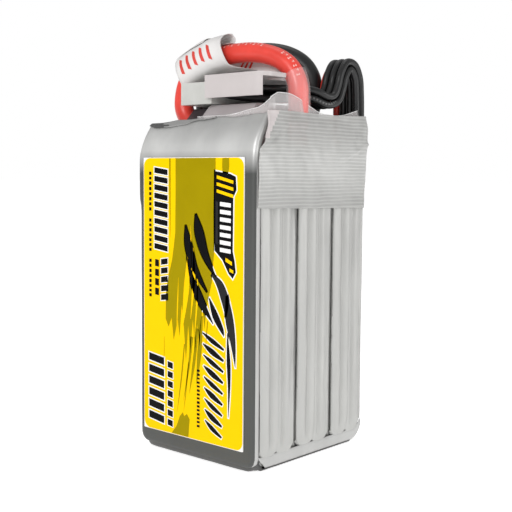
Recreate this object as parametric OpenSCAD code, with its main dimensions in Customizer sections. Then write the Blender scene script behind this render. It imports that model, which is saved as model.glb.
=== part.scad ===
// Lithium polymer battery pack: six pouch cells in series, standing on its
// bottom end. Millimetres. Origin at the bottom centre, Z up along the pack,
// the label face towards -Y, the cells stacked along Y.

/* [Pack] */
// Width of the cells' cups across the pack
cup_w = 34.6; // [30:0.1:40]
// Height of the cells' cups
cup_h = 65.3; // [50:0.1:80]
// Thickness of one cell
cell_t = 6.2; // [4:0.05:10]
// Pitch from one cell to the next
cell_pitch = 6.35; // [4:0.05:10]
// Overall height to the top of the end tape
pack_h = 78; // [60:0.5:100]
// Thickness of the pouch foil
foil_t = 0.3; // [0.1:0.05:0.5]

/* [Label face] */
// Width of the label
label_w = 31.6; // [20:0.1:36]
// Height of the label
label_h = 63.4; // [40:0.1:68]
// Thickness of the front cover
cover_t = 1.85; // [0.5:0.05:3]

/* [Connection board] */
// Board thickness
board_t = 1.0; // [0.8:0.1:2]
// Tab width
tab_w = 5; // [3:0.5:8]
// Tab thickness
tab_t = 0.3; // [0.1:0.05:0.5]

/* [Leads] */
// Diameter of the main leads over the silicone
lead_d = 4.5; // [3:0.1:6]
// Diameter of the balance wires
wire_d = 1.7; // [1:0.1:2.5]

/* [Plugs] */
// Width of the main plug
plug_w = 15.9; // [14:0.1:18]
// Thickness of the main plug
plug_h = 8.1; // [7:0.1:10]
// Width of the balance plug
bal_w = 19.8; // [18:0.1:22]
// Thickness of the balance plug
bal_h = 5.0; // [4:0.1:6]
// Length of the balance plug
bal_l = 9.8; // [8:0.1:12]
// Clearance of the protective cap
cap_gap = 0.1; // [0.05:0.05:0.4]

/* [Hidden] */
$fn = 32;
cells = 6;
stack_front = -18.1;
cup_z = 0.5;
cup_top = cup_z + cup_h;
gap = (cell_pitch - cell_t) / 2;
paper_z = 68.3;
board_z = 68.5;
solder_z = board_z + board_t;
top_z = solder_z + 0.6;
plug_c = [0, -5, 75.3];
plug_back = -9.5;
plug_split = -4.5;
plug_nose = 9.2;
pin_y = 3.6;
bal_c = [-6.5, -3.1, 82.7];
clip_x0 = -2.6;
clip_x1 = 9.6;
clip_arm = 5.4;
clip_z0 = 81.4;
tape_x = 18.05;
tape_t = 0.3;
tape_z0 = 57;

function flat_y(k) = stack_front + k * cell_pitch + (k % 2 == 0 ? gap + cell_t : gap);
function side_s(k) = k % 2 == 0 ? -1 : 1;
function tab_y(k) = flat_y(k) + side_s(k) * 1.5;
function pos_x(k) = k % 2 == 0 ? 9 : -9;

// Round-cornered flat shape from exact circles: r0 at the -Y side, r1 at +Y
module rounded2d(w, h, r) {
    translate([-w / 2 + r, 0]) square([w - 2 * r, h]);
    translate([-w / 2, r]) square([w, h - 2 * r]);
    for (x = [-w / 2 + r, w / 2 - r], y = [r, h - r]) translate([x, y]) circle(r = r);
}

// Solid rounded in plan (radius rp) and in front view (radius rf), flat side at y = 0
module cup(w, t, h, rp, rf) {
    intersection() {
        linear_extrude(height = h) union() {
            translate([0, t - 2 * rp]) rounded2d(w, 2 * rp, rp * 0.999);
            translate([-w / 2, 0]) square([w, t - rp]);
        }
        translate([0, t + 1, 0]) rotate([90, 0, 0]) linear_extrude(height = t + 2)
            rounded2d(w, h, rf);
    }
}

// Places things made with the flat side at y = 0 and the cup towards +y
module at_cell(k) {
    translate([0, flat_y(k), 0]) mirror([0, k % 2 == 0 ? 1 : 0, 0]) children();
}

module pouch(k) {
    color([0.78, 0.78, 0.77]) at_cell(k) difference() {
        union() {
            translate([0, 0, cup_z]) cup(cup_w, cell_t, cup_h, 1.5, 2.4);
            // folded side seals lying along the cup walls
            for (s = [-1, 1]) {
                translate([s > 0 ? cup_w / 2 : -cup_w / 2 - 0.35, 0.05, 5]) cube([0.35, 5.2, 60.4]);
                // fold of the seal, half of the ridge between two cells
                intersection() {
                    translate([s * 15.7, 0, 5.2]) cylinder(r = 2.3, h = 60, $fn = 48);
                    translate([s > 0 ? 15.7 : -18.2, 0, 5]) cube([2.5, 3, 61]);
                }
            }
            // top seal standing up behind the tabs
            translate([-16, 0, cup_top - 2.6]) cube([32, foil_t, 4.9]);
        }
        translate([0, foil_t, cup_z + foil_t])
            cup(cup_w - 2 * foil_t, cell_t - 2 * foil_t, cup_h - 2 * foil_t, 1.2, 2.1);
        for (x = [-9, 9]) translate([x - tab_w / 2, 1.5 - tab_t / 2, cup_top - 2]) cube([tab_w, tab_t, 4]);
    }
}

module electrode_stacks() {
    color([0.25, 0.25, 0.27]) for (k = [0:cells - 1]) at_cell(k)
        translate([0, foil_t + 0.1, cup_z + foil_t + 0.1])
            cup(cup_w - 2 * foil_t - 0.2, cell_t - 2 * foil_t - 0.2, cup_h - 2 * foil_t - 1.6, 1.1, 2.0);
}

module tab(k, x) {
    z0 = cup_z + foil_t + 0.1 + cup_h - 2 * foil_t - 1.6;
    translate([x - tab_w / 2, tab_y(k) - tab_t / 2, z0]) cube([tab_w, tab_t, top_z - z0]);
}

module positive_tabs() {
    color([0.8, 0.8, 0.82]) for (k = [0:cells - 1]) tab(k, pos_x(k));
}

module negative_tabs() {
    color([0.75, 0.72, 0.65]) for (k = [0:cells - 1]) tab(k, -pos_x(k));
}

module adhesive_sheets() {
    color([0.95, 0.95, 0.9]) for (k = [0:cells - 2])
        translate([-14, stack_front + (k + 1) * cell_pitch - gap, 6]) cube([28, 2 * gap, 55]);
}

module cover_outline() {
    intersection() {
        linear_extrude(height = 69) union() {
            translate([-17.9, -18.8]) square([35.8, cover_t - 1.2]);
            translate([-16.7, -20]) square([33.4, cover_t]);
            for (x = [-16.7, 16.7]) translate([x, -18.8]) intersection() {
                circle(r = 1.2);
                translate([-1.3, -1.3]) square([2.6, 1.3 + cover_t - 1.2]);
            }
        }
        translate([0, -17, 0.6]) rotate([90, 0, 0]) linear_extrude(height = 4) rounded2d(35.8, 74, 2.6);
    }
}

module front_cover() {
    color([0.62, 0.62, 0.62]) union() {
        cover_outline();
        // foil lip leaning back over the top of the first cell
        rotate([90, 0, 90]) translate([0, 0, -17.2]) linear_extrude(height = 34.4)
            polygon([[-20, 68], [-19.5, 68], [-19.5, 69.2], [-14.9, 77.3], [-15.3, 77.5], [-20, 69.2]]);
    }
}

module label() {
    color([1, 0.87, 0]) translate([-16.4, -20.2, 4.6]) rotate([90, 0, 0])
        translate([label_w / 2, 0, -0.2]) linear_extrude(height = 0.2) rounded2d(label_w, label_h, 1.6);
}

module bottom_wrap() {
    color([0.82, 0.82, 0.8]) translate([0, 19.9, 0]) rotate([90, 0, 0]) linear_extrude(height = 37.8)
        difference() {
            intersection() {
                rounded2d(35.3, 20, 2.8);
                translate([-20, 0]) square([40, 4.4]);
            }
            translate([0, 0.45]) rounded2d(34.65, 20, 2.45);
        }
}

module insulation_paper() {
    color([0.45, 0.42, 0.38]) difference() {
        translate([-16.5, -17.9, paper_z]) cube([33, 37.6, board_z - paper_z]);
        for (k = [0:cells - 1], x = [-9, 9])
            translate([x - tab_w / 2 - 0.2, tab_y(k) - 0.35, paper_z - 1]) cube([tab_w + 0.4, 0.7, 3]);
    }
}

module connection_board() {
    color([0.05, 0.25, 0.12]) difference() {
        translate([-17.5, -17.9, board_z]) cube([35, 37.3, board_t]);
        for (k = [0:cells - 1], x = [-9, 9])
            translate([x - tab_w / 2 - 0.2, tab_y(k) - 0.25, board_z - 1]) cube([tab_w + 0.4, 0.5, 3]);
        for (j = [0:6]) translate([14 - wire_a(j), 18 + wire_b(j), board_z - 1]) cylinder(d = 1, h = 3);
    }
}

module solder_joints() {
    color([0.75, 0.75, 0.77]) for (k = [0:cells - 1], x = [-9, 9])
        translate([x - tab_w / 2, tab_y(k) + tab_t / 2, solder_z]) cube([tab_w, 0.9, 0.6]);
}

module top_insulator() {
    color([0.3, 0.3, 0.32]) difference() {
        translate([-17.5, -17.7, top_z]) cube([35, 37.1, 0.2]);
        for (p = [[15.6, -3], [4.3, 11]]) translate([p[0], p[1], top_z - 1]) cylinder(d = 5.4, h = 3);
        translate([10.3, 16, top_z - 1]) cube([8, 5, 3]);
    }
}

module tape_plan(x, y, r) {
    translate([-x, -20]) square([2 * x, 20 + y - r]);
    translate([-x + r, -1]) square([2 * (x - r), y + 1]);
    for (s = [-1, 1]) translate([s * (x - r), y - r]) circle(r = r);
}

module end_tape() {
    color([0.9, 0.9, 0.88, 0.7]) difference() {
        translate([0, 0, tape_z0]) linear_extrude(height = pack_h - tape_z0)
            tape_plan(tape_x + tape_t, 20.2, 2);
        translate([0, 0, tape_z0 - 1]) linear_extrude(height = 30) tape_plan(tape_x, 19.95, 1.7);
        translate([-20, -21, tape_z0 - 1]) cube([40, 2, 30]);
        // slanted front edges following the shoulder
        rotate([90, 0, 90]) translate([0, 0, -20]) linear_extrude(height = 40)
            polygon([[-21, 66], [-19, 66], [-16.4, 79], [-21, 79]]);
    }
}

// Loose film end of the tape standing up at the front corner of the top
module tape_flap() {
    color([0.95, 0.95, 0.95, 0.5]) union() {
        translate([0, -14.4, 0]) rotate([90, 0, 0]) linear_extrude(height = 0.2)
            polygon([[-1, 74], [17.7, 74], [17.7, 81.6], [15, 81.3], [11, 80], [6, 78.6], [-1, 77.6]]);
        translate([17.5, 0, 0]) rotate([90, 0, 90]) linear_extrude(height = 0.2)
            polygon([[-14.6, 72], [-6, 72], [-6, 78.2], [-9, 79.2], [-12, 80.8], [-14.6, 81.6]]);
    }
}

// Cross-section of the main plug with two chamfered corners on the positive side
module plug2d(w, h, c) {
    polygon([[-w / 2 + c, -h / 2], [w / 2, -h / 2], [w / 2, h / 2], [-w / 2 + c, h / 2],
        [-w / 2, h / 2 - c], [-w / 2, -h / 2 + c]]);
}

module along_plug(x0, x1) {
    translate([x0, plug_c[1], plug_c[2]]) rotate([90, 0, 90]) linear_extrude(height = x1 - x0) children();
}

module main_plug_housing() {
    color([0.12, 0.1, 0.11]) difference() {
        union() {
            along_plug(plug_split, 1.2) plug2d(plug_w, plug_h, 2.4);
            along_plug(1.2, plug_nose) plug2d(13.4, 5.9, 1.6);
            // grip ribs on the broad faces
            for (x = [-3.6, -2.2, -0.8]) along_plug(x, x + 0.6) difference() {
                square([10, plug_h + 0.1], center = true);
                square([11, plug_h - 0.2], center = true);
            }
        }
        for (s = [-1, 1]) translate([plug_split - 1, plug_c[1] + s * pin_y, plug_c[2]])
            rotate([0, 90, 0]) cylinder(d = 4.4, h = 20);
    }
}

module main_plug_cover() {
    color([0.06, 0.06, 0.06]) difference() {
        along_plug(plug_back, plug_split) plug2d(plug_w, plug_h, 2.4);
        for (s = [-1, 1]) translate([plug_back - 1, plug_c[1] + s * pin_y, plug_c[2]])
            rotate([0, 90, 0]) cylinder(d = 4.7, h = 20);
    }
}

module main_contacts() {
    color([0.95, 0.75, 0.3]) for (s = [-1, 1]) translate([-7.5, plug_c[1] + s * pin_y, plug_c[2]])
        rotate([0, 90, 0]) difference() {
            cylinder(d = 4.4, h = 16.3);
            translate([0, 0, 6]) cylinder(d = 3.5, h = 12);
            // expansion slots of the socket
            translate([-0.25, -3, 8.5]) cube([0.5, 6, 9]);
        }
}

module plug_cap() {
    color([0.9, 0.88, 0.9, 0.6]) difference() {
        along_plug(-3.8, 10.6) plug2d(plug_w + 1.2, plug_h + 1.2, 2.4);
        along_plug(-4.8, 9.7) plug2d(plug_w + 2 * cap_gap + 0.1, plug_h + 2 * cap_gap + 0.1, 2.3);
    }
}

module balance_plug() {
    color([0.94, 0.94, 0.92]) difference() {
        union() {
            translate([-11.4, bal_c[1] - bal_w / 2, bal_c[2] - bal_h / 2]) cube([bal_l, bal_w, bal_h]);
            // polarising ribs
            for (y = [-6.5, 6.5]) translate([-11.4, bal_c[1] + y - 0.6, bal_c[2] + bal_h / 2])
                cube([6, 1.2, 0.3]);
        }
        for (j = [0:6]) translate([-12, bal_y(j) - 0.95, bal_c[2] - 0.95]) cube([12, 1.9, 1.9]);
        // window of each crimp latch on the upper face
        for (j = [0:6]) translate([-8.2, bal_y(j) - 0.6, bal_c[2]]) cube([1.6, 1.2, 4]);
    }
}

module balance_crimps() {
    color([0.8, 0.8, 0.8]) for (j = [0:6]) difference() {
        translate([-10, bal_y(j) - 0.85, bal_c[2] - 0.85]) cube([7.8, 1.7, 1.7]);
        translate([-11, bal_y(j) - 0.5, bal_c[2] - 0.5]) cube([4, 1, 1]);
    }
}

module plug_clip() {
    color([0.95, 0.9, 0.9, 0.6]) difference() {
        union() {
            translate([clip_x0, bal_c[1] - 11.05, clip_z0]) cube([clip_x1 - clip_x0, 22.1, 86.5 - clip_z0]);
            // long front arm beside the wires
            translate([clip_x1 - 3, bal_c[1] - 11.05, clip_z0]) cube([clip_arm + 3, 7.55, 86.5 - clip_z0]);
        }
        translate([clip_x0 - 1, bal_c[1] - 10.2, 80]) cube([24, 20.4, 5.55]);
        // rounded rear corners
        translate([clip_x1 - 3, bal_c[1] + 8.05, 80]) difference() {
            cube([4, 4, 8]);
            translate([0, 0, -1]) cylinder(r = 3, h = 10);
        }
        translate([clip_x1 + clip_arm - 3, bal_c[1] - 8.05, 80]) difference() {
            translate([0, -4, 0]) cube([4, 4, 8]);
            translate([0, 0, -1]) cylinder(r = 3, h = 10);
        }
    }
}

// ---- cords ----
function unit(v) = v / norm(v);
function perp(v) = abs(v[0]) < 0.8 ? unit(cross(v, [1, 0, 0])) : unit(cross(v, [0, 1, 0]));
function cr(a, b, c, d, t) = 0.5 * (2 * b + (c - a) * t + (2 * a - 5 * b + 4 * c - d) * t * t
    + (3 * b - a - 3 * c + d) * t * t * t);
function spline(p, k) = concat([for (i = [0:len(p) - 2]) for (j = [0:k - 1])
    cr(p[max(i - 1, 0)], p[i], p[i + 1], p[min(i + 2, len(p) - 1)], j / k)], [p[len(p) - 1]]);

module tube(p, d, m) {
    n = len(p);
    tg = [for (i = [0:n - 1]) unit(p[min(i + 1, n - 1)] - p[max(i - 1, 0)])];
    nv = [for (i = 0, v = perp(tg[0]); i < n; v = unit(v - (v * tg[min(i, n - 1)]) * tg[min(i, n - 1)]),
        i = i + 1) v];
    pts = [for (i = [0:n - 1]) let (a = unit(nv[i] - (nv[i] * tg[i]) * tg[i]), b = cross(tg[i], a))
        for (k = [0:m - 1]) p[i] + d / 2 * (cos(360 * k / m) * a + sin(360 * k / m) * b)];
    faces = concat([[for (k = [0:m - 1]) k]], [[for (k = [m - 1:-1:0]) (n - 1) * m + k]],
        [for (i = [0:n - 2]) for (k = [0:m - 1]) [i * m + k, (i + 1) * m + k, (i + 1) * m + (k + 1) % m]],
        [for (i = [0:n - 2]) for (k = [0:m - 1])
            [i * m + k, (i + 1) * m + (k + 1) % m, i * m + (k + 1) % m]]);
    polyhedron(points = pts, faces = faces);
}

// Main leads: up from the board, over the top and down into the plug's cover
red_route = [[15.6, -3, 69.5], [15.6, -3, 73], [15.6, -3, 77], [15.6, -3, 81], [15.2, -3, 84.8],
    [13.2, -3.2, 88.4], [9.5, -3.7, 91.1], [4.5, -4.6, 92.5], [-1, -5.6, 92.7], [-6.5, -6.9, 91.7],
    [-11, -7.9, 89.2], [-14, -8.4, 85.6], [-15, -8.6, 81.3], [-14.2, -8.6, 78.3], [-12, -8.6, 76.1],
    [-9.7, -8.6, 75.3], [-8.6, -8.6, 75.3], [-7.53, -8.6, 75.3]];
black_route = [[4.2, 11, 69.52], [4.2, 11, 70.9], [4.6, 11, 72.6], [6, 11.3, 75.8], [7.5, 11.5, 79.5],
    [8.2, 11.5, 83.8], [7.6, 11.4, 88], [5.4, 10.4, 91.6], [1.8, 8.2, 94], [-2.6, 5.2, 94.6],
    [-7, 2.6, 93.2], [-11, 0.4, 90], [-14, -0.9, 85.8], [-15, -1.4, 81.3], [-14.2, -1.4, 78.3],
    [-12, -1.4, 76.1], [-9.7, -1.4, 75.3], [-8.6, -1.4, 75.3], [-7.53, -1.4, 75.3]];

module red_lead() {
    color([0.85, 0.1, 0.08]) tube(spline(red_route, 4), lead_d, 12);
}

module black_lead() {
    color([0.08, 0.08, 0.08]) tube(spline(black_route, 4), lead_d, 12);
}

// Balance wires: from the plug through the clip, gathered into a bundle, over
// the loop at the back right corner and down to the board
function bal_y(j) = bal_c[1] + (j - 3) * 2.5;
wire_step = 1.9;
bundle = [[9.4, 2.4, 82.9], [11.5, 3.2, 82.9], [13.2, 4.8, 82.2], [14.1, 6.8, 81.1], [14.3, 8.9, 82],
    [14.3, 10.3, 84.4], [14.2, 11.4, 87.2], [14, 13.4, 89.5], [14, 15.7, 89.3], [14, 17.3, 87],
    [14, 17.8, 83.4], [14, 18, 78.6], [14, 18, 73.5], [14, 18, 69.5]];
bundle_n = len(bundle);
function bundle_t(i) = i == 0 ? unit([1, 0.05, 0])
    : unit(bundle[min(i + 1, bundle_n - 1)] - bundle[i - 1]);
// the row of wires lies across the bundle, turning with it
function bundle_l(i) = let (l = i == 0 ? [0, 1, 0] : i == 1 ? [-0.4, 0.9, 0] : i == 2 ? [-0.8, 0.5, 0]
    : [-1, 0, 0], t = bundle_t(i)) unit(l - (l * t) * t);
// column and row of each wire in the bundle
function wire_a(j) = (floor(j / 2) - 1.5) * wire_step;
function wire_b(j) = (j % 2 - 0.5) * wire_step;
function wire_route(j) = let (y0 = bal_y(j), dy = bundle[0][1] + wire_a(j) - y0, b = wire_b(j),
    dip = j == 0 ? 0.25 : 0) concat([[-2.12, y0, 82.7], [-1.4, y0, 82.7], [-0.6, y0, 82.7],
    [1.2, y0 + dy * 0.12, 82.8 + b * 0.7], [3.8, y0 + dy * 0.45, 82.9 + b * 1.1 - dip],
    [6.6, y0 + dy * 0.82, 82.9 + b * 1.1 - dip]],
    [for (i = [0:bundle_n - 1]) bundle[i] + wire_a(j) * bundle_l(i)
        + wire_b(j) * cross(bundle_t(i), bundle_l(i))]);

module balance_wire(j) {
    color(j == 6 ? [0.85, 0.1, 0.08] : [0.07, 0.07, 0.07]) tube(spline(wire_route(j), 4), wire_d, 8);
}

// Paper pull tag wrapped around both main leads
module pull_tag() {
    color([0.97, 0.96, 0.95]) translate([-5.5, -1, 92.9]) rotate([0, -14, 0]) rotate([90, 0, 90])
        translate([0, 0, -4.5]) linear_extrude(height = 9) difference() {
            union() {
                square([12, 10], center = true);
                for (s = [-1, 1]) translate([s * 6, 0]) circle(r = 5);
            }
            union() {
                square([12, 9.4], center = true);
                for (s = [-1, 1]) translate([s * 6, 0]) circle(r = 4.7);
            }
        }
}

pouch(0);  // pouch_1
pouch(1);  // pouch_2
pouch(2);  // pouch_3
pouch(3);  // pouch_4
pouch(4);  // pouch_5
pouch(5);  // pouch_6
electrode_stacks();
positive_tabs();
negative_tabs();
adhesive_sheets();
front_cover();
label();
bottom_wrap();
insulation_paper();
connection_board();
solder_joints();
top_insulator();
end_tape();
tape_flap();
main_plug_housing();
main_plug_cover();
main_contacts();
plug_cap();
balance_plug();
balance_crimps();
plug_clip();
red_lead();
black_lead();
balance_wire(0);  // balance_wire_1
balance_wire(1);  // balance_wire_2
balance_wire(2);  // balance_wire_3
balance_wire(3);  // balance_wire_4
balance_wire(4);  // balance_wire_5
balance_wire(5);  // balance_wire_6
balance_wire(6);  // balance_wire_7
pull_tag();
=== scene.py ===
"""Looks of a six-cell battery pack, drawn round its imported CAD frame.

Lengths in this file are in millimetres until make() and cord_curve() turn them into metres. The
pack stands on z = 0 with its label towards -Y and the edges of its six cells towards +X and -X.
"""

import math

import bpy
from mathutils import Matrix, Vector, noise


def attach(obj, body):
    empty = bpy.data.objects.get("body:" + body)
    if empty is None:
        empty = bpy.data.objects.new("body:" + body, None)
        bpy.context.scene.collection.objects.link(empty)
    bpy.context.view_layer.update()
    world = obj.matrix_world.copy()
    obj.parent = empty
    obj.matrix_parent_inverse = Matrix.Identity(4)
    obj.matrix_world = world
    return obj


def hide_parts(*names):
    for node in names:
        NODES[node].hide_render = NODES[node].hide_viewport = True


MM = 0.001
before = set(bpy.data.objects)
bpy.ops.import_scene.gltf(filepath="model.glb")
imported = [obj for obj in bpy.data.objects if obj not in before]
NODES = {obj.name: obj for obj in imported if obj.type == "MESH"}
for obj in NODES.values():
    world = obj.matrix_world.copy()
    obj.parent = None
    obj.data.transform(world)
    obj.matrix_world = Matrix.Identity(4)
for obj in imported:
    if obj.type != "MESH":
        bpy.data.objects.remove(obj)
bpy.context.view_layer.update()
scene = bpy.context.scene
scene.view_settings.view_transform = "Standard"
scene.view_settings.look = "None"


# ---- helpers
def nz(x, y=0.0, z=0.0):
    """Smooth noise from -1 to 1."""
    return noise.noise(Vector((x, y, z)))


def lerp(a, b, t):
    return a + (b - a) * t


def smooth(a, b, x):
    """0 below a, 1 above b, with a soft step between them."""
    t = max(0.0, min(1.0, (x - a) / (b - a)))
    return t * t * (3 - 2 * t)


def make(name, verts, faces, mats, slot, face_mats=None, shade=True, replaces=()):
    """A mesh piece from millimetre points, riding on the pack."""
    me = bpy.data.meshes.new(name)
    me.from_pydata([Vector(v) * MM for v in verts], [], faces)
    for m in mats if isinstance(mats, (list, tuple)) else [mats]:
        me.materials.append(m)
    if face_mats:
        me.polygons.foreach_set("material_index", face_mats)
    me.polygons.foreach_set("use_smooth", [shade] * len(me.polygons))
    me.validate()
    me.update()
    o = bpy.data.objects.new(name, me)
    scene.collection.objects.link(o)
    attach(o, "pack")
    if replaces:
        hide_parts(*replaces)
    return o


def grid(rows, closed=False):
    """Vertices and quads of a grid of points, optionally closed along each row."""
    n = len(rows[0])
    verts = [p for r in rows for p in r]
    faces = []
    for i in range(len(rows) - 1):
        for j in range(n if closed else n - 1):
            k = (j + 1) % n
            faces.append((i * n + j, i * n + k, (i + 1) * n + k, (i + 1) * n + j))
    return verts, faces


def add_patch(verts, faces, rows):
    """Adds a small grid of points to a mesh, each quad starting along its row."""
    base, n = len(verts), len(rows[0])
    verts.extend(p for row in rows for p in row)
    for i in range(len(rows) - 1):
        for k in range(n - 1):
            a = base + i * n + k
            faces.append((a, a + 1, a + n + 1, a + n))


def rim_drop(r, depth):
    """How far a round edge of radius r has dropped, depth into its last r millimetres."""
    return r - math.sqrt(max(0.0, r * r - depth ** 2))


def sheet(name, rows, mats, slot, thickness, offset=0.0, closed=False, flip=False, **kw):
    """A thin piece along a grid of points, facing the other way if flip is set."""
    verts, faces = grid(rows, closed)
    if flip:
        faces = [f[::-1] for f in faces]
    m = make(name, verts, faces, mats, slot, **kw).modifiers.new("thickness", "SOLIDIFY")
    m.thickness = thickness * MM
    m.offset = offset


def catmull(pts, k):
    """Points on a smooth curve through pts, k per span."""
    out = []
    n = len(pts)
    for i in range(n - 1):
        a, b = Vector(pts[max(i - 1, 0)]), Vector(pts[i])
        c, d = Vector(pts[i + 1]), Vector(pts[min(i + 2, n - 1)])
        for j in range(k):
            t = j / k
            out.append(0.5 * (2 * b + (c - a) * t + (2 * a - 5 * b + 4 * c - d) * t * t
                              + (3 * b - a - 3 * c + d) * t ** 3))
    out.append(Vector(pts[-1]))
    return out


# ---- materials
def node_mat(name):
    m = bpy.data.materials.new(name)
    m.use_nodes = True
    return m, m.node_tree, m.node_tree.nodes["Principled BSDF"]


def add(nt, kind, **inputs):
    """A new node with some of its inputs set by name."""
    n = nt.nodes.new(kind)
    for k, v in inputs.items():
        n.inputs[k].default_value = v
    return n


def math_node(nt, operation, a, b=None, c=None):
    """A Math node's output; each of a, b and c is a socket or a number."""
    n = nt.nodes.new("ShaderNodeMath")
    n.operation = operation
    for sock, v in zip(n.inputs, (a, b, c)):
        if isinstance(v, bpy.types.NodeSocket):
            nt.links.new(v, sock)
        elif v is not None:
            sock.default_value = v
    return n.outputs[0]


def mix_colors(nt, fac):
    """A colour Mix node driven by fac, as its two colour inputs and its colour output."""
    n = nt.nodes.new("ShaderNodeMix")
    n.data_type = "RGBA"
    nt.links.new(fac, n.inputs[0])
    a, b = (x for x in n.inputs if x.type == "RGBA")
    return a, b, next(x for x in n.outputs if x.type == "RGBA")


def bump(nt, shader, height, strength, distance_mm):
    n = add(nt, "ShaderNodeBump", Strength=strength, Distance=distance_mm * MM)
    nt.links.new(height, n.inputs["Height"])
    nt.links.new(n.outputs["Normal"], shader.inputs["Normal"])


def noise_tex(nt, co, scale, detail=4.0, rough=0.55):
    n = add(nt, "ShaderNodeTexNoise", Scale=scale, Detail=detail, Roughness=rough)
    nt.links.new(co, n.inputs["Vector"])
    return n.outputs["Fac"]


def ramp(nt, fac, lo, hi, c0, c1):
    n = nt.nodes.new("ShaderNodeValToRGB")
    n.color_ramp.elements[0].position = lo
    n.color_ramp.elements[1].position = hi
    n.color_ramp.elements[0].color = (*c0, 1)
    n.color_ramp.elements[1].color = (*c1, 1)
    nt.links.new(fac, n.inputs["Fac"])
    return n.outputs["Color"]


def map_range(nt, fac, a, b, lo, hi):
    n = nt.nodes.new("ShaderNodeMapRange")
    for k, v in zip(("From Min", "From Max", "To Min", "To Max"), (a, b, lo, hi)):
        n.inputs[k].default_value = v
    nt.links.new(fac, n.inputs["Value"])
    return n.outputs["Result"]


def height_of(nt, co):
    """The Z of a position, in metres."""
    n = nt.nodes.new("ShaderNodeSeparateXYZ")
    nt.links.new(co, n.inputs[0])
    return n.outputs["Z"]


def stretched(nt, sx=1, sy=1, sz=1):
    """Object coordinates, scaled along each axis."""
    co = nt.nodes.new("ShaderNodeTexCoord")
    mp = nt.nodes.new("ShaderNodeMapping")
    mp.inputs["Scale"].default_value = (sx, sy, sz)
    nt.links.new(co.outputs["Object"], mp.inputs["Vector"])
    return mp.outputs["Vector"]


def surface(name, color, rough, metallic, var, spread, patch, relief, relief_mm, grain, alpha=1.0,
            spec=0.5):
    """Plain material: patchy colour, varying roughness and a fine relief, all from object noise.

    var and spread are how far colour and roughness vary, patch and grain the scales of the noises.
    """
    m, nt, b = node_mat(name)
    co = stretched(nt)
    big = noise_tex(nt, co, patch, 3.0)
    fine = noise_tex(nt, co, grain, 5.0, 0.6)
    lo = tuple(c * (1 - var) for c in color)
    hi = tuple(c * (1 + var) for c in color)
    nt.links.new(ramp(nt, big, 0.3, 0.7, lo, hi), b.inputs["Base Color"])
    nt.links.new(map_range(nt, big, 0.3, 0.7, rough - spread, rough + spread), b.inputs["Roughness"])
    bump(nt, b, fine, relief, relief_mm)
    b.inputs["Metallic"].default_value = metallic
    b.inputs["Specular IOR Level"].default_value = spec
    b.inputs["Alpha"].default_value = alpha
    return m


# heights between which the cover's leaning top is painted darker: painted shade
PAINTED_SHADE_Z0, PAINTED_SHADE_Z1 = 70.8, 75.5


def foil_material(name, low, high, z0, z1, metallic, rough, crease=0.3, top=1.0):
    """Foil laminate: satin, with long soft creases.

    The colour goes from low below z0 to high above z1, and is top times as bright above PAINTED_SHADE_Z1.
    """
    m, nt, b = node_mat(name)
    co = stretched(nt)
    z = height_of(nt, co)
    big = noise_tex(nt, stretched(nt, sz=0.35), 110.0, 4.0)
    below, above, color = mix_colors(nt, map_range(nt, z, z0 * MM, z1 * MM, 0.0, 1.0))
    for sock, c in ((below, low), (above, high)):
        lo = tuple(x * 0.9 for x in c)
        hi = tuple(x * 1.08 for x in c)
        nt.links.new(ramp(nt, big, 0.3, 0.7, lo, hi), sock)
    shade = add(nt, "ShaderNodeHueSaturation")
    nt.links.new(color, shade.inputs["Color"])
    if top < 1.0:
        nt.links.new(map_range(nt, z, PAINTED_SHADE_Z0 * MM, PAINTED_SHADE_Z1 * MM, 1.0, top), shade.inputs["Value"])
    nt.links.new(shade.outputs["Color"], b.inputs["Base Color"])
    nt.links.new(map_range(nt, big, 0.3, 0.7, rough - 0.06, rough + 0.08), b.inputs["Roughness"])
    fine = noise_tex(nt, stretched(nt, sz=0.15), 420.0, 6.0, 0.6)
    grain = noise_tex(nt, co, 2500.0, 2.0)
    bump(nt, b, math_node(nt, "MULTIPLY_ADD", grain, 0.15, fine), crease, 0.12)
    b.inputs["Metallic"].default_value = metallic
    return m


FOIL = foil_material("foil", (0.45, 0.45, 0.435), (0.455, 0.455, 0.44), 0, 60, 0.35, 0.38)
# the cover's foil carries painted light: painted reflection, dark on the face and light on the shoulder, and
# painted shade dulling its leaning top
COVER_PAINTED_LIGHT = foil_material("cover_foil", (0.070, 0.073, 0.070), (0.60, 0.60, 0.59), 64.5, 69.6, 0.40, 0.40,
                      0.35, 0.76)
# lighter copy of the cover's foil for its sides: painted light
EDGE_PAINTED_LIGHT = foil_material("cover_edge_painted_light", (0.47, 0.47, 0.46), (0.44, 0.44, 0.43), 60, 70, 0.25, 0.50)
# dark foil of the cover's folds, also the painted contact shadow along the pack's bottom edges
FOLD_AND_SHADOW_LINE = foil_material("fold_foil_and_painted_shadow", (0.075, 0.075, 0.072), (0.085, 0.085, 0.085), 0, 5, 0.3, 0.45)
# darker grey copy of the cover's foil: painted shadow in the top fold's crease
CREASE_SHADE = foil_material("crease_painted_shade", (0.30, 0.30, 0.295), (0.32, 0.32, 0.315), 0, 5, 0.4, 0.40, 0.4)
STRIP = foil_material("strip_foil", (0.47, 0.47, 0.46), (0.47, 0.47, 0.46), 0, 5, 0.25, 0.45, 0.5)
INK = dict(rough=0.4, metallic=0, spread=0.03, relief=0.05, relief_mm=0.03, grain=1500)
YELLOW = surface("label_yellow", (0.93, 0.56, 0.0), var=0.02, patch=120, spec=0.03, **INK)
WHITE = surface("label_white", (0.80, 0.80, 0.79), var=0.02, patch=200, spec=0.2, **INK)
OLIVE = surface("label_olive", (0.32, 0.245, 0.0), var=0.04, patch=160, spec=0.03, **INK)
BLACK = surface("label_black", (0.003, 0.003, 0.0035), var=0.2, patch=200, spec=0.05, **INK)
GREY = surface("label_grey", (0.02, 0.02, 0.022), var=0.2, patch=200, spec=0.06, **INK)
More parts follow.
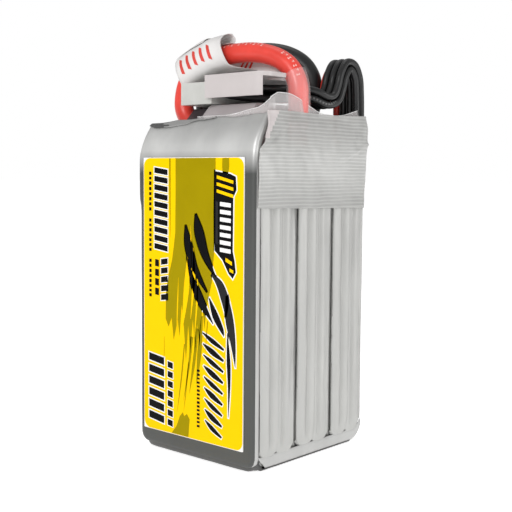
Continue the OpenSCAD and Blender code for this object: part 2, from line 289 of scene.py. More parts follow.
RED = surface("silicone_red", (0.73, 0.052, 0.035), 0.34, 0, 0.06, 0.07, 260, 0.12, 0.05, 1400, spec=0.45)
DARK = surface("silicone_black", (0.010, 0.010, 0.0105), 0.33, 0, 0.2, 0.08, 260, 0.15, 0.05, 1400, spec=0.45)
PAPER = surface("tag_paper", (0.66, 0.645, 0.635), 0.5, 0, 0.05, 0.05, 220, 0.2, 0.05, 1800)
TAG_RED = surface("tag_print", (0.58, 0.045, 0.03), 0.5, 0, 0.08, 0.05, 400, 0.1, 0.03, 1800)
NYLON_W = surface("nylon_white", (0.50, 0.50, 0.475), 0.45, 0, 0.05, 0.05, 300, 0.15, 0.04, 2200)
NYLON_K = surface("nylon_dark", (0.035, 0.028, 0.031), 0.42, 0, 0.15, 0.06, 300, 0.2, 0.04, 2200)
MILKY = surface("milky_clip", (0.60, 0.555, 0.55), 0.3, 0, 0.02, 0.02, 250, 0.25, 0.06, 900, alpha=0.8)
MILKY_CAP = surface("milky_cap", (0.56, 0.51, 0.515), 0.33, 0, 0.02, 0.03, 250, 0.25, 0.06, 900, alpha=0.7)
FILM = surface("clear_film", (0.72, 0.69, 0.685), 0.16, 0, 0.03, 0.05, 200, 0.35, 0.08, 500, alpha=0.34)
SLEEVE = surface("clear_sleeve", (0.93, 0.80, 0.79), 0.15, 0, 0.03, 0.05, 300, 0.4, 0.1, 500, alpha=0.11)
GOLD = surface("gold", (0.86, 0.60, 0.22), 0.25, 1.0, 0.06, 0.05, 400, 0.1, 0.03, 2000)
TIN = surface("tin", (0.62, 0.62, 0.62), 0.33, 1.0, 0.06, 0.05, 400, 0.1, 0.03, 2000)
BOARD = surface("board", (0.02, 0.12, 0.05), 0.3, 0, 0.12, 0.06, 300, 0.2, 0.04, 1500)
INSULATOR = surface("insulator", (0.10, 0.10, 0.11), 0.5, 0, 0.1, 0.08, 200, 0.3, 0.06, 900)
FISH = surface("fish_paper", (0.26, 0.24, 0.21), 0.7, 0, 0.1, 0.05, 250, 0.4, 0.06, 1500)
TISSUE = surface("tissue", (0.8, 0.8, 0.76), 0.6, 0, 0.05, 0.05, 250, 0.3, 0.06, 1500)
ELECTRODE = surface("electrode", (0.05, 0.05, 0.055), 0.6, 0, 0.1, 0.05, 250, 0.3, 0.06, 1500)
PRINT = surface("lead_print", (0.88, 0.50, 0.46), 0.5, 0, 0.05, 0.05, 300, 0.05, 0.02, 1500)
PRINT_W = surface("wire_print", (0.11, 0.11, 0.11), 0.5, 0, 0.05, 0.05, 300, 0.05, 0.02, 1500)


TAPE_Z0, TAPE_Z1, FILAMENT = 57.0, 78.0, 0.8


def tape_material():
    """Filament tape: milky film with glass filaments running round the pack."""
    m, nt, b = node_mat("filament_tape")
    co = stretched(nt)
    z = height_of(nt, co)
    wob = map_range(nt, noise_tex(nt, co, 60.0, 2.0), 0, 1, -0.6 * MM, 0.6 * MM)
    turns = math_node(nt, "ADD", z, wob)
    phase = math_node(nt, "MULTIPLY", turns, 2 * math.pi / (FILAMENT * MM))
    wave = math_node(nt, "SINE", phase)
    big = noise_tex(nt, co, 130.0, 4.0)
    film, fibre, color = mix_colors(nt, map_range(nt, wave, 0.7, 1.0, 0.0, 0.8))
    nt.links.new(ramp(nt, big, 0.3, 0.7, (0.455, 0.455, 0.44), (0.535, 0.535, 0.52)), film)
    fibre.default_value = (0.60, 0.60, 0.585, 1)
    nt.links.new(color, b.inputs["Base Color"])
    nt.links.new(map_range(nt, big, 0.3, 0.7, 0.28, 0.42), b.inputs["Roughness"])
    # the cells show through at the lower edge, and the leads above the cover's shoulder
    lower = map_range(nt, z, TAPE_Z0 * MM, 64 * MM, -0.28, 0.0)
    upper = map_range(nt, z, 69 * MM, 73.5 * MM, 0.0, -0.30)
    clear = math_node(nt, "ADD", lower, upper)
    alpha = math_node(nt, "ADD", map_range(nt, wave, -1, 1, 0.82, 0.92), clear)
    nt.links.new(alpha, b.inputs["Alpha"])
    bump(nt, b, noise_tex(nt, stretched(nt, 0.3, 0.3), 500.0, 5.0), 0.35, 0.1)
    return m


TAPE = tape_material()
PALE = surface("pale_film", (0.66, 0.605, 0.60), 0.3, 0, 0.03, 0.05, 200, 0.35, 0.08, 500, alpha=0.72)
# near-white: painted highlight on the loose film's cut edge
RIM_HIGHLIGHT = surface("film_rim_painted_highlight", (0.93, 0.93, 0.92), 0.3, 0, 0.02, 0.03, 200, 0.1, 0.03, 500, alpha=0.8)

# ---- camera
CAM_AT = Vector((152.16, -170.66, 64.61)) * MM
AIM = Vector((0.0, 0.76, 44.92)) * MM
ROLL = math.radians(0.4)
cam_data = bpy.data.cameras.new("camera")
cam = bpy.data.objects.new("camera", cam_data)
scene.collection.objects.link(cam)
turn = (AIM - CAM_AT).to_track_quat("-Z", "Y").to_matrix().to_4x4()
cam.matrix_world = Matrix.Translation(CAM_AT) @ turn @ Matrix.Rotation(ROLL, 4, "Z")
cam_data.sensor_width = 36
cam_data.lens = 67.79
cam_data.clip_start = 0.01
cam_data.clip_end = 20
scene.camera = cam

# ---- cords
RED_ROUTE = [(15.6, -3, 69.5), (15.6, -3, 73), (15.6, -3, 77), (15.6, -3, 81), (15.2, -3, 84.8),
             (13.2, -3.2, 88.2), (9.5, -3.7, 90.6), (4.5, -4.6, 91.9), (-1, -5.6, 92.0),
             (-6.5, -6.9, 91.1), (-11, -7.9, 88.8), (-14, -8.4, 85.6), (-15, -8.6, 81.3),
             (-14.2, -8.6, 78.3), (-12, -8.6, 76.1), (-9.7, -8.6, 75.3), (-8.6, -8.6, 75.3),
             (-7.53, -8.6, 75.3)]
BLACK_ROUTE = [(4.2, 11, 69.52), (4.2, 11, 70.9), (4.6, 11, 72.6), (6, 11.3, 75.8), (7.5, 11.5, 79.5),
               (8.2, 11.5, 83.6), (7.6, 11.4, 87.5), (5.4, 10.4, 90.8), (1.8, 8.2, 92.9),
               (-2.6, 5.2, 93.4), (-7, 2.6, 92.2), (-11, 0.4, 89.4), (-14, -0.9, 85.8),
               (-15, -1.4, 81.3), (-14.2, -1.4, 78.3), (-12, -1.4, 76.1), (-9.7, -1.4, 75.3),
               (-8.6, -1.4, 75.3), (-7.53, -1.4, 75.3)]
BUNDLE = [Vector(p) for p in (
    (9.4, 2.4, 82.9), (11.5, 3.2, 82.9), (13.2, 4.8, 82.2), (14.1, 6.8, 81.1), (14.3, 8.9, 82),
    (14.3, 10.3, 84.4), (14.2, 11.4, 87.2), (14, 13.4, 89.5), (14, 15.7, 89.3), (14, 17.3, 87),
    (14, 17.8, 83.4), (14, 18, 78.6), (14, 18, 73.5), (14, 18, 69.5))]
STEP, LEAD_D, WIRE_D = 1.9, 4.5, 1.7
BALANCE_Y, BALANCE_Z, PIN_PITCH = -3.1, 82.7, 2.5


def wire_route(j):
    """Balance wire j's route: out of its pin, into its place in the bundle and down to the board."""
    y0 = BALANCE_Y + (j - 3) * PIN_PITCH
    a, b = (j // 2 - 1.5) * STEP, (j % 2 - 0.5) * STEP
    dy = BUNDLE[0].y + a - y0
    dip = 0.25 if j == 0 else 0
    pts = [(-2.12, y0, BALANCE_Z), (-1.4, y0, BALANCE_Z), (-0.6, y0, BALANCE_Z),
           (1.2, y0 + dy * 0.12, 82.8 + b * 0.7), (3.8, y0 + dy * 0.45, 82.9 + b * 1.1 - dip),
           (6.6, y0 + dy * 0.82, 82.9 + b * 1.1 - dip)]
    n = len(BUNDLE)
    for i, c in enumerate(BUNDLE):
        t = (Vector((1, 0.05, 0)) if i == 0 else BUNDLE[min(i + 1, n - 1)] - BUNDLE[i - 1]).normalized()
        across = Vector([(0, 1, 0), (-0.4, 0.9, 0), (-0.8, 0.5, 0)][i] if i < 3 else (-1, 0, 0))
        across = (across - across.dot(t) * t).normalized()
        pts.append(tuple(c + a * across + b * t.cross(across)))
    return pts


def cord_curve(name, route, diameter, material, cad_node):
    """A cord as a round curve along route, and its length in metres."""
    pts = catmull(route, 8)
    cu = bpy.data.curves.new(name, "CURVE")
    cu.dimensions = "3D"
    sp = cu.splines.new("POLY")
    sp.points.add(len(pts) - 1)
    for p, q in zip(sp.points, pts):
        p.co = (*(q * MM), 1)
    cu.bevel_depth = diameter / 2 * MM
    cu.bevel_resolution = 7
    cu.use_fill_caps = True
    cu.materials.append(material)
    o = bpy.data.objects.new(name, cu)
    scene.collection.objects.link(o)
    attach(o, "pack")
    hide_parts(cad_node)
    return o, sum((b - a).length for a, b in zip(pts, pts[1:])) * MM


red, red_len = cord_curve("red_main_lead", RED_ROUTE, LEAD_D, RED, "red_lead")
black, black_len = cord_curve("black_main_lead", BLACK_ROUTE, LEAD_D, DARK, "black_lead")
for j in range(7):
    wire_mat, wire_slot = (RED, "silicone_red") if j == 6 else (DARK, "silicone_black")
    cord_curve(f"balance_lead_{j + 1}", wire_route(j), WIRE_D, wire_mat,
                            f"balance_wire_{j + 1}")


# ---- cells
CELLS, STACK_Y, PITCH, CELL_T = 6, -18.1, 6.35, 6.2
BACK_Y, BACK_R = 19.925, 3.8
FRONT_Y, FRONT_R = -16.4, 2.6
# half widths: of the recess that holds the bottom strip, and of the cells' edges above it
RECESS_X, SIDE_X = 17.12, 17.46


def lifted(y, z):
    """z raised near the floor so that the pack's bottom rounds up at the back and the front."""
    up = 0.0
    for depth, r in ((y - (BACK_Y - BACK_R), BACK_R), (FRONT_Y - y, FRONT_R)):
        if depth > 0:
            up += rim_drop(r, min(depth, 0.97 * r))
    return z + up * max(0.0, 1 - z / 9)


def cell_half(z, seed, s):
    """(x, v) points of one half of a cell's outline at height z, from the flat side to the cup face."""
    fade = smooth(3.2, 6.6, z)
    level = z + 0.25 * nz(seed * 2.2, s, 3.0)

    def edged(x, v):
        """x, stepped in to the strip's recess below the pouch's lower edge, which has round corners."""
        past = min(1.9, max(0.0, v - 3.7, 1.4 - v))
        low = 2.6 + rim_drop(2.0, past)
        recess = RECESS_X - 0.75 * smooth(0.5, 1.6, past) * smooth(2.6, 3.1, z)
        return lerp(recess, x, smooth(low, low + 0.35, level))

    w = nz(z * 0.045, seed * 3.1, s) * 0.5 + nz(z * 0.15, seed * 5.7, s) * 0.25
    # the seal's fold, a round ridge beside the flat side
    r = 2.3 + 0.12 * w
    pts = [(0, 0), (7, 0), (13, 0), (15.6, -0.02), (16.6, -0.05)]
    for i in range(10):
        a = math.radians(38 * i / 9)
        v = r * math.sin(a) - 0.07 * (1 - i / 9)
        pts.append((edged(lerp(17.45, 15.78 + r * math.cos(a), fade), v), v))
    # the seal lying on the cup's wall: a groove, then a soft swelling
    for i in range(1, 14):
        t = i / 13
        v = 1.42 + 4.28 * t
        shape = 0.30 * math.sin(math.pi * min(1.0, t * 1.15)) ** 2 - 0.32 * math.exp(-((v - 1.9) / 0.6) ** 2)
        crease = 0.20 * nz(v * 0.55, z * 0.06, seed + 10 * s) + 0.10 * nz(v * 1.3, z * 0.2, seed + 31 * s)
        x = SIDE_X + (shape + crease + 0.04) * fade
        pts.append((edged(x, v), v + 0.06 * w))
    # its free edge, then the cup's rounded corner and broad face
    edge = 5.62 + 0.16 * nz(z * 0.06, seed, 9 * s) + 0.05 * nz(z * 0.35, seed, 2 * s)
    for x, v in ((17.62, edge), (17.5, edge + 0.06), (17.2, edge + 0.02)):
        pts.append((edged(x, v), v))
    return pts + [(16.75, edge - 0.5), (16.6, 5.95), (16.2, 6.13), (15.6, 6.19), (12, 6.22), (7, 6.24),
                  (2.5, 6.24)]


def build_cell(k):
    """One pouch: side seals folded along the cup, a ridge at the fold, soft creases."""
    s = -1 if k % 2 == 0 else 1
    gap = (PITCH - CELL_T) / 2
    y0 = STACK_Y + k * PITCH + (gap + CELL_T if s < 0 else gap)
    zs = [0.55, 0.8, 1.2, 1.8, 2.2] + [2.4 + 0.15 * i for i in range(14)] + \
        [3.8 + 61.3 * i / 82 for i in range(1, 83)] + [65.5, 65.75]
    rows = []
    for z in zs:
        right, left = cell_half(z, k + 1, 1), cell_half(z, k + 1, 2)
        cut = rim_drop(1.2, max(0.0, 1.65 - z)) + 0.8 * smooth(65.1, 65.8, z)
        row = [(max(0.0, x - cut), y0 + s * v, lifted(y0 + s * v, z)) for x, v in right]
        rows.append(row + [(-max(0.0, x - cut), y0 + s * v, lifted(y0 + s * v, z))
                           for x, v in reversed(left[1:])])
    verts, faces = grid(rows, closed=True)
    n = len(rows[0])
    faces.append(tuple(range(n - 1, -1, -1)))
    faces.append(tuple(range((len(rows) - 1) * n, len(rows) * n)))
    if s < 0:
        faces = [f[::-1] for f in faces]
    make(f"cell_pouch_{k + 1}", verts, faces, FOIL, "pouch_foil", replaces=(f"pouch_{k + 1}",))


for k in range(CELLS):
    build_cell(k)


# ---- front cover
COVER_HALF, COVER_R, COVER_Z0, COVER_Z1 = 17.9, 2.7, 0.85, 77.5
# (y, z) of the face from its lower edge to its upper one, which leans back over the first cell
COVER_PROFILE = [(-18.7, 0.85), (-19.3, 0.95), (-19.75, 1.4), (-19.95, 2.1), (-20.0, 3.2)] + \
    [(-20.0, 3.2 + 61.8 * i / 46) for i in range(1, 47)] + \
    [(-20.0, 66.4), (-19.97, 67.6), (-19.85, 68.8), (-19.6, 70.0), (-19.2, 71.2), (-18.7, 72.3),
     (-18.15, 73.3), (-17.5, 74.3), (-16.9, 75.2), (-16.3, 76.0), (-15.8, 76.7), (-15.4, 77.25),
     (-15.15, 77.55)]


def cover_point(a, y, z):
    """A point of the cover at a, from -1 to 1 across it, on the profile's y and z."""
    lean = smooth(67, COVER_Z1, z)
    half = COVER_HALF - rim_drop(COVER_R, max(0.0, COVER_Z0 + COVER_R - z)) - 0.35 * lean
    if a < 0:
        half += 0.55 * smooth(56, 59, z) * (1 - smooth(68, 75, z)) - 0.25 * smooth(72, COVER_Z1, z)
    edge = 0.75
    t = max(0.0, (abs(a) - 0.88) / 0.12)
    if t == 0.0:
        x, back = a / 0.88 * (half - edge), 0.0
    else:
        ang = min(1.0, t / 0.4) * math.pi / 2
        x = math.copysign(half - edge + edge * math.sin(ang), a)
        flange = 1.1 + 2.4 * (a < 0) * smooth(62, 68, z)
        back = edge * (1 - math.cos(ang)) + max(0.0, (t - 0.4) / 0.6) * flange
    wob = 0.05 * nz(x * 0.12, z * 0.09, 3.3) * smooth(2, 10, z)
    wr = lean * (0.5 * nz(x * 0.30, z * 0.25, 7.7) + 0.22 * nz(x * 0.9, z * 0.6, 1.7))
    # towards the left the upper edge comes forward and down
    drop = 1.7 * (0.5 - 0.5 * a) * smooth(70, COVER_Z1, z)
    back -= 2.0 * smooth(0.1, 1.0, -a) * smooth(70, COVER_Z1, z)
    dz = 0.45 * nz(x * 0.22, 1.3, 4.4) * smooth(72, COVER_Z1, z)
    return x, y + back + wob + wr * 0.6, z + dz - drop


def build_cover():
    us = [-1 + 2 * i / 80 for i in range(81)]
    rows = [[cover_point(a, y, z) for a in us] for y, z in COVER_PROFILE]
    # rougher sides below the fold, painted light grey: painted light on the cover's rounded edges and flanks
    kinds = [int(abs(us[j] + us[j + 1]) / 2 > 0.925 and row[j][2] < 75)
             for row in rows[:-1] for j in range(80)]
    sheet("front_foil_cover", rows, [COVER_PAINTED_LIGHT, EDGE_PAINTED_LIGHT], "cover_foil", 0.25, -1.0, face_mats=kinds,
          replaces=("front_cover",))


build_cover()


def cover_y(z):
    """The cover profile's y at height z."""
    for (ya, za), (yb, zb) in zip(COVER_PROFILE, COVER_PROFILE[1:]):
        if z <= zb:
            break
    return lerp(ya, yb, (z - za) / (zb - za))


def build_top_fold():
    """The cover's upper edge folded over on itself at the left, with a dark turned-in corner; the rest of the
    flap is a darker grey, painted shadow of its crease.
    """
    rows = []
    n, m = 44, 8
    for i in range(n + 1):
        t = i / n
        a = lerp(-0.90, 0.12, t)
        depth = 1.5 * math.sin(math.pi * min(1.0, t * 1.15 + 0.12)) ** 0.8 + 0.35 * nz(t * 7, 3.0, 1.0)
        row = []
        for k in range(m + 1):
            f = (1 - k / m) * max(0.25, depth) / 3.2
            z = 77.55 - 3.3 * f
            x, y, z = cover_point(a, cover_y(z), z)
            up = 0.16 + 0.35 * (1 - k / m) * (0.6 + 0.4 * math.sin(t * 9))
            row.append((x, y - up * 0.75, z + up * 0.45))
        rows.append(row)
    # dark corner at the left, the rest painted shadow of the crease
    kinds = [int(i < 11 + 3 * math.sin(k * 0.9)) for i in range(n) for k in range(m)]
    sheet("cover_top_fold", rows, [CREASE_SHADE, FOLD_AND_SHADOW_LINE], "cover_foil", 0.18, face_mats=kinds)


build_top_fold()


def build_bottom_fold_and_shadow_line():
    """The dark tucked-under end of the cover: a sheet under the pack, set in below the face; its raised edges
    along both sides are painted contact shadow.
    """
    rows = []
    # its thin dark edge shows below the strip all along both sides, a painted contact shadow where the pack
    # meets the floor
    for y in (15.8, 12.0, 8.0, 4.0, 0.0, -4.0, -8.0, -11.5, -14.0, -16.2):
        xs = [lerp(-16.7, 16.7, j / 46) for j in range(47)]
        edge = 0.42 + 0.12 * nz(y * 0.4, 3.0, 7.0)
        rows.append([(-17.40, y, 0.05 + edge)] + [(x, y, 0.05) for x in xs] + [(17.40, y, 0.05 + edge)])
    # at the front it turns up behind the face, higher at its corners
    for i, (y, z) in enumerate(((-17.6, 0.06), (-18.7, 0.2), (-19.3, 0.55), (-19.5, 1.2), (-19.4, 2.2),
                                (-19.2, 3.4)), 2):
        row = []
        for j in range(49):
            a = lerp(-1, 1, j / 48)
            half = 17.35 - 0.5 * (i > 4)
            lift = 2.3 * max(0.0, (abs(a) - 0.87) / 0.13) ** 2 * (i < 5)
            x = a * half
            wob = 0.12 * nz(x * 0.3, 5.0, i * 0.2) * (z > 0.3)
            row.append((x, y + 1.1 * abs(a) ** 12 * (i > 2) + 0.05 * nz(x * 0.4, z, 2.2), z + wob + lift))
        rows.append(row)
    sheet("cover_bottom_fold_and_shadow_line", rows, FOLD_AND_SHADOW_LINE, "cover_foil", 0.2, 1.0)


build_bottom_fold_and_shadow_line()


def build_bottom_strip():
    """Foil strip under the cells, turned up a few millimetres at both sides with a torn front edge."""
    path = []
    r, half, top = 1.0, 17.42, 3.1
    for i in range(10):
        z = lerp(top, r, i / 9)
        path.append((half - 0.15 * smooth(2.4, top, z), z))
    for i in range(1, 10):
        a = math.radians(90 * i / 10)
        path.append((half - r + r * math.cos(a), 0.02 + r - r * math.sin(a)))
    left = [(-x, z) for x, z in reversed(path)]
    path += [(lerp(half - r, r - half, i / 15), 0.02) for i in range(16)] + left
    rows = []
    m = 64
    for i in range(m + 1):
        row = []
        for x, z in path:
            side = smooth(0.3, 3.3, z)
            torn = 0.5 * nz(z * 0.8, math.copysign(2, x), 4.0) + 0.25 * nz(z * 2.3, 1, 9.0)
            first = -18.0 + 2.8 * (1 - smooth(0.0, 3.4, z)) + torn * smooth(0.5, 2, z)
            y = lerp(first, BACK_Y - 0.05, (i / m) ** 0.9)
            dx = 0.10 * nz(y * 0.25, z * 0.4, 8.0) * side + 0.06 * nz(y * 0.8, z * 0.8, 3.0) * side
            row.append((x + math.copysign(dx, x), y, max(0.02, lifted(y, z))))
        rows.append(row)
    sheet("bottom_foil_strip", rows, STRIP, "foil_strip", 0.12, replaces=("bottom_wrap",))


build_bottom_strip()

# ---- label
# The print is flat shapes in (u, v), u to the right from the label's left edge and v down from its
# top edge. A shape lies on the layers below it, each INK_STEP proud of the last.
LABEL_X, LABEL_Y, LABEL_Z, LABEL_W, LABEL_H = -16.4, -20.2, 68.0, 31.6, 63.4
INK_STEP = 0.022
INKS = {"white": WHITE, "yellow": YELLOW, "olive": OLIVE, "black": BLACK, "grey": GREY}
shapes = {kind: [] for kind in INKS}


def rrect(u0, v0, u1, v1, r):
    """A rectangle with round corners."""
    pts = []
    for cu, cv, a0 in ((u1 - r, v0 + r, -90), (u1 - r, v1 - r, 0), (u0 + r, v1 - r, 90),
                       (u0 + r, v0 + r, 180)):
        for i in range(7):
            a = math.radians(a0 + 15 * i)
            pts.append((cu + r * math.cos(a), cv + r * math.sin(a)))
    return pts


def turns_left(poly):
    """Whether poly's points run from u towards v round its middle."""
    return sum(p[0] * q[1] - q[0] * p[1] for p, q in zip(poly, poly[1:] + poly[:1])) > 0


def grown(poly, d):
    """poly with its edges moved outwards by d."""
    n = len(poly)
    sgn = 1 if turns_left(poly) else -1
    out = []
    for i in range(n):
        p, q, r = poly[i - 1], poly[i], poly[(i + 1) % n]
        e1 = Vector((q[0] - p[0], q[1] - p[1]))
        e2 = Vector((r[0] - q[0], r[1] - q[1]))
        if e1.length < 1e-6 or e2.length < 1e-6:
            out.append(q)
            continue
        n1 = Vector((e1.y, -e1.x)).normalized() * sgn
        n2 = Vector((e2.y, -e2.x)).normalized() * sgn
        h = n1 + n2
        if h.length < 0.2:
            h = n1
        h.normalize()
        k = d / max(0.45, h.dot(n1))
        out.append((q[0] + h.x * k, q[1] + h.y * k))
    return out


def mark(poly, kind, layer):
    shapes[kind].append((poly, layer))


def outlined(poly, kind="black", d=0.28, layer=3):
    """A shape with a white outline d wide."""
    if d:
        mark(grown(poly, d), "white", layer - 1)
    mark(poly, kind, layer)


def blade(pts, widths, kind="black", layer=3, outline=0.28):
    """A tapered stroke along pts, with a width at each."""
    c = catmull([(p[0], p[1], 0) for p in pts], 6)
    ws = catmull([(w, 0, 0) for w in widths], 6)
    left, right = [], []
    for i, p in enumerate(c):
        t = (c[min(i + 1, len(c) - 1)] - c[max(i - 1, 0)]).normalized()
        nrm = Vector((-t.y, t.x, 0))
        w = max(0.02, ws[i].x) / 2
        left.append((p.x + nrm.x * w, p.y + nrm.y * w))
        right.append((p.x - nrm.x * w, p.y - nrm.y * w))
    outlined(left + right[::-1], kind, outline, layer)


# the sheet and its yellow field
mark(rrect(0, 0, LABEL_W, LABEL_H, 0.25), "white", 0)
mark(rrect(0.12, 0.12, LABEL_W - 0.12, LABEL_H - 0.12, 1.9), "yellow", 1)
# broad brush band down the upper middle, breaking into strands
band = [(10.7, 0.15), (23.2, 0.15), (23.2, 12), (22.9, 20), (22.2, 27), (20.6, 33), (19.9, 38), (19.3, 33),
        (18.9, 36), (18.4, 42), (17.6, 37), (17.0, 43.5), (16.3, 36), (15.4, 44), (14.8, 37.5), (14.1, 46),
        (13.4, 38), (12.7, 33), (12.0, 40.5), (11.4, 36.5), (10.9, 38.6), (10.1, 41.5), (9.4, 36.4),
        (8.4, 38.6), (7.4, 36.8), (7.5, 31), (8.3, 27), (9.6, 23), (10.6, 17), (10.7, 8)]
mark(band, "olive", 2)
for pts, w in (
        ([(8.85, 0.2), (8.9, 10), (9.0, 18)], (0.5, 0.35, 0.05)),
        ([(26.2, 0.2), (26.2, 2.0), (26.1, 3.6)], (2.0, 2.1, 1.6)),
        ([(16.0, 40), (15.0, 47), (13.3, 55)], (0.9, 0.6, 0.05)),
        ([(17.8, 38), (16.6, 46), (15.2, 53)], (0.7, 0.9, 0.05)),
        ([(13.6, 42), (12.6, 50), (11.2, 58)], (0.35, 0.4, 0.05)),
        ([(19.2, 35), (18.4, 43), (17.5, 50.5)], (0.5, 1.3, 0.2)),
        ([(20.9, 36), (20.6, 39), (20.2, 43)], (0.3, 0.25, 0.05)),
        ([(14.9, 46), (14.2, 52), (13.4, 57.4)], (0.25, 0.3, 0.05)),
        ([(7.0, 41), (6.9, 45), (6.6, 49)], (0.08, 0.15, 0.03))):
    blade(pts, w, "olive", 2, 0)
mark([(9.4, 63.2), (11.0, 61.3), (12.1, 58.8), (13.1, 57.7), (13.5, 58.6), (14.4, 57.9), (15.3, 59.0),
      (14.9, 63.2)], "olive", 2)
# yellow slivers left between the strands of the band
for pts, w in (
        ([(14.6, 22), (14.3, 29), (13.0, 38)], (0.1, 1.7, 0.3)),
        ([(16.4, 20), (16.6, 27), (15.6, 36)], (0.1, 0.9, 0.1)),
        ([(17.8, 26), (17.6, 32), (16.8, 40)], (0.1, 0.5, 0.1)),
        ([(11.7, 27), (11.4, 33), (11.1, 40)], (0.05, 0.35, 0.1)),
        ([(15.6, 15), (15.7, 20), (15.9, 26)], (0.05, 0.3, 0.05))):
    blade(pts, w, "yellow", 3, 0)


# Plain slanted blocks, dashes and sweeps stand where the label carries its print.
def slash(u0, v0, u1, v1, lean, kind="black", d=0.0, layer=3):
    """A parallelogram with its right side lower by lean, and a white outline d wide."""
    outlined([(u0, v0), (u1, v0 + lean), (u1, v1 + lean), (u0, v1)], kind, d, layer)


# tall blocks, small blocks and a line of dashes down the left
for i in range(10):
    slash(3.7, 2.2 + 1.93 * i, 8.1, 3.45 + 1.93 * i, 0.55, d=0.25)
for i in range(5):
    slash(5.9, 23.2 + 2.05 * i, 8.1, 24.5 + 2.05 * i, -0.35, d=0.2)
for i in range(4):
    slash(3.9, 23.3 + 2.2 * i, 5.2, 24.9 + 2.2 * i, 0.12)
v = 3.2
for i in range(27):
    w = 0.75 + 0.25 * nz(i * 1.7)
    if i in (8, 9, 17, 18):
        v += 0.7
        continue
    slash(1.9, v, 2.7, v + w, 0.0)
    v += w + 0.42
# angular banner at the upper right
outlined([(23.0, 3.0), (27.6, 3.6), (29.2, 4.2), (29.4, 7.0), (28.5, 8.5), (28.4, 20.2), (29.0, 22.4),
          (29.3, 24.6), (28.4, 26.0), (27.2, 25.0), (25.4, 22.2), (23.0, 20.2), (22.9, 12.0)], d=0.3)
for i in range(3):
    slash(23.6, 3.9 + 1.5 * i, 28.5, 4.6 + 1.5 * i, 1.1, "yellow", layer=4)
for i in range(7):
    slash(24.6, 9.6 + 1.65 * i, 27.8, 10.5 + 1.65 * i, 0.25, "white", layer=4)
slash(23.3, 9.4, 24.0, 18.6, 0.3, "grey", layer=4)
slash(26.3, 21.6, 28.2, 22.4, 0.8, "yellow", layer=4)
slash(27.5, 23.8, 28.6, 24.5, 0.4, "yellow", layer=4)
# three nested sweeps across the middle, and two grey ones
blade([(17.2, 12.6), (18.2, 16.5), (20.2, 21.5), (23.4, 26.0)], (0.4, 2.6, 1.9, 0.2))
blade([(14.0, 15.2), (14.9, 19.6), (16.9, 24.6), (20.6, 29.4)], (0.3, 2.3, 1.7, 0.2))
blade([(14.4, 22.2), (15.9, 26.6), (18.4, 31.2), (22.6, 36.4)], (0.2, 1.4, 2.2, 0.2))
blade([(22.2, 25.6), (24.6, 27.6), (26.2, 31.0), (26.5, 34.5)], (0.4, 2.0, 2.2, 0.4), "grey")
blade([(26.7, 29.8), (27.5, 35.0), (28.6, 40.0), (29.3, 45.2)], (0.8, 2.4, 1.5, 0.1), "grey")
blade([(21.4, 30.8), (23.2, 34.4), (25.2, 37.4), (25.9, 38.8)], (0.3, 1.8, 1.2, 0.1))
# slanted strokes running down the lower right
blade([(26.9, 38.2), (27.3, 44), (27.5, 50), (27.3, 56.5)], (0.15, 1.1, 0.7, 0.08))
for i in range(9):
    v = 39.2 + 2.45 * i
    blade([(19.4 + 0.1 * i, v - 0.5), (22.3, v + 1.0), (25.9 - 0.08 * i, v + 2.6)],
          (0.25, 1.15 + 0.25 * (i % 2), 0.5), outline=0.22)
# small dashes down the middle
for i in range(15):
    w = 0.5 + 0.18 * nz(i * 2.3, 4)
    slash(17.6, 47.2 + 0.9 * i, 18.5, 47.2 + 0.9 * i + w, 0.0)
# solid bars at the lower left
for i in range(6):
    slash(1.8, 45.3 + 2.75 * i, 6.9, 47.0 + 2.75 * i, 0.7, d=0.28)
for i in range(7):
    slash(8.1, 46.6 + 2.25 * i, 9.8, 48.0 + 2.25 * i, 0.25, d=0.2)


def build_label():
    """The sheet and its print, one face to a shape, all facing out of the label face."""
    verts, faces, kinds = [], [], []
    for ink, kind in enumerate(INKS):
        for poly, layer in shapes[kind]:
            loop = range(len(verts), len(verts) + len(poly))
            verts.extend((LABEL_X + u, LABEL_Y - INK_STEP * layer, LABEL_Z - v) for u, v in poly)
            faces.append(tuple(loop if turns_left(poly) else loop[::-1]))
            kinds.append(ink)
    # rim of the sheet down to the cover
    rim = rrect(0, 0, LABEL_W, LABEL_H, 0.25)
    base = len(verts)
    for y in (LABEL_Y, LABEL_Y + 0.19):
        verts.extend((LABEL_X + u, y, LABEL_Z - v) for u, v in rim)
    n = len(rim)
    for i in range(n):
        k = (i + 1) % n
        faces.append((base + i, base + n + i, base + n + k, base + k))
        kinds.append(0)
    make("face_label", verts, faces, list(INKS.values()), "label_print", face_mats=kinds, shade=False,
         replaces=("label",))


build_label()


# ---- end tape
TAPE_X, TAPE_Y, TAPE_R, TAPE_FRONT = 18.22, 20.12, 2.0, -19.5


def tape_path(n_side=70, n_corner=10, n_back=56):
    """(x, y, nx, ny) round the pack from the front right edge to the front left edge."""
    x, y, r = TAPE_X, TAPE_Y, TAPE_R
    pts = []
    for i in range(n_side + 1):
        pts.append((x, lerp(TAPE_FRONT, y - r, i / n_side), 1.0, 0.0))
    for i in range(1, n_corner):
        a = math.radians(90 * i / n_corner)
        pts.append((x - r + r * math.cos(a), y - r + r * math.sin(a), math.cos(a), math.sin(a)))
    for i in range(n_back + 1):
        pts.append((lerp(x - r, -(x - r), i / n_back), y, 0.0, 1.0))
    return pts + [(-px, py, -nx, ny) for px, py, nx, ny in pts[-n_back - 2::-1]]


